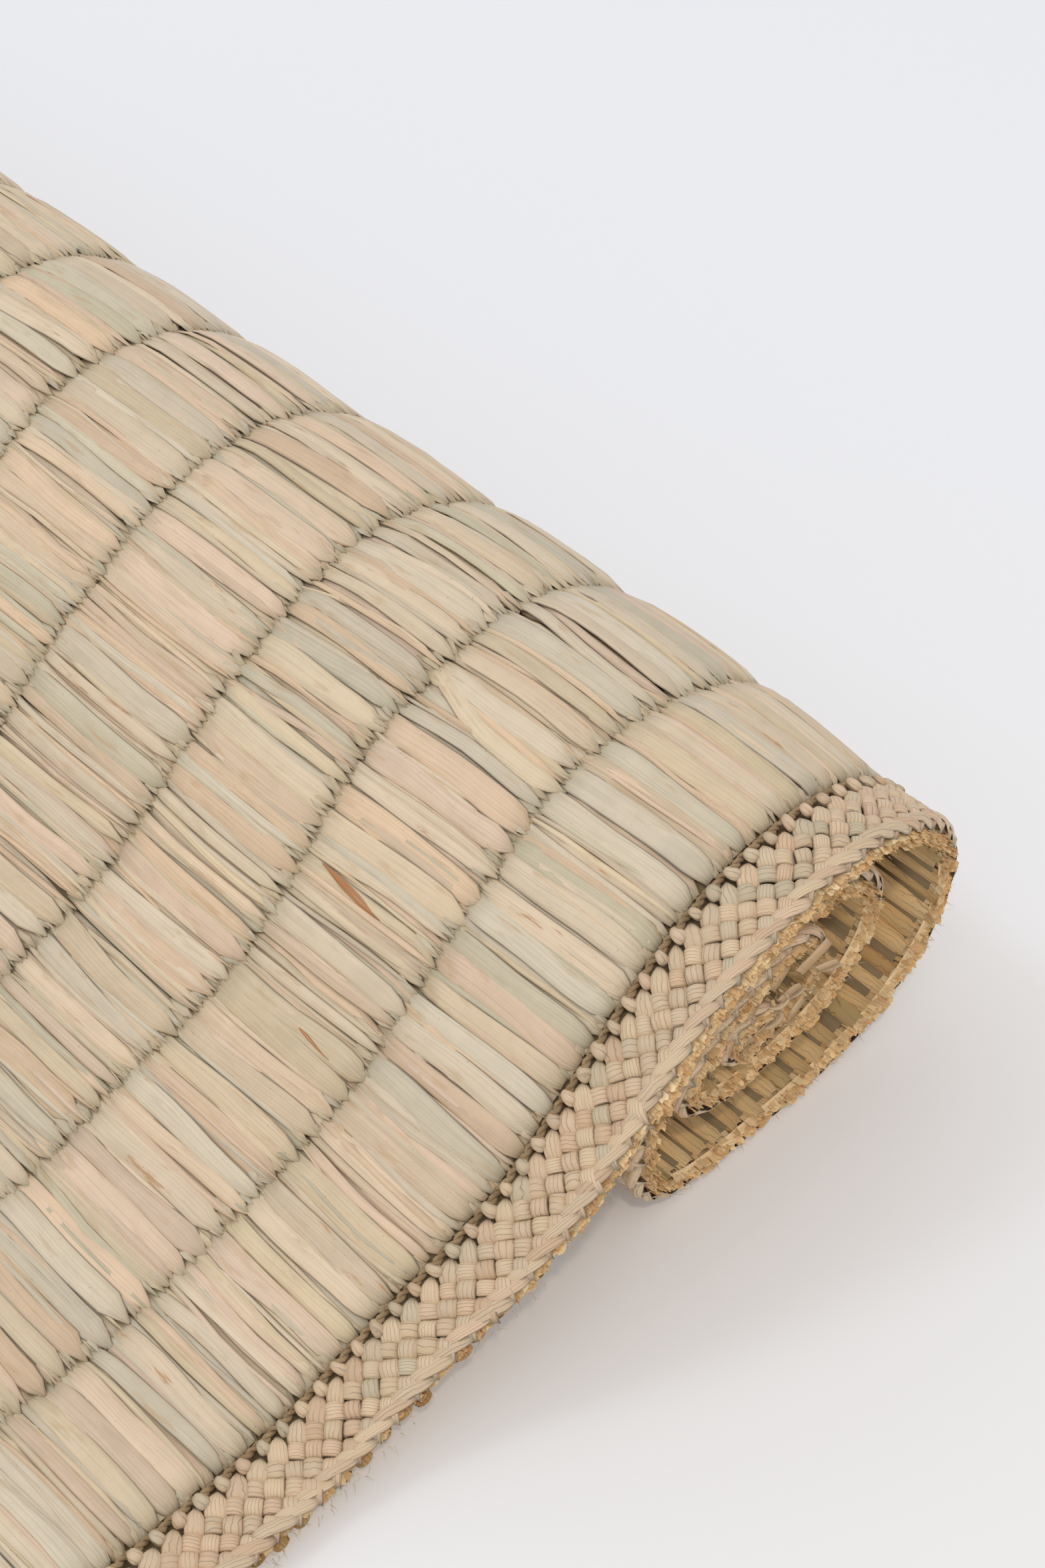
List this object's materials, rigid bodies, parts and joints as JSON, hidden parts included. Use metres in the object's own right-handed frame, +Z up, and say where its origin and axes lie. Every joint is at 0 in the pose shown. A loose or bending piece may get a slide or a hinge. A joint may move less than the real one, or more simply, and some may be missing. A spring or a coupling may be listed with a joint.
{
  "type": "rolled grass mat",
  "caption": "Woven rush floor mat with plaited side borders, rolled from one end into a flattened coil, its free end sloping down to lie flat.",
  "frame": {"origin": "centre of the bounding box's base, on the surface that the mat lies on", "axes": "+X from the flat tail towards the roll, +Y along the roll away from the near border, +Z up"},
  "size_m": [0.7208, 0.9102, 0.1338],
  "materials": {
    "rush": "dry rush leaf, soft satin sheen",
    "plait": "plaited dry rush leaf, soft satin sheen",
    "twine": "matt twisted jute"
  },
  "bodies": {
    "root": {"rush_body": "rush", "plait_border_near": "plait", "plait_border_far": "plait", "jute_twine_near": "twine", "jute_twine_far": "twine"}
  },
  "joints": []
}
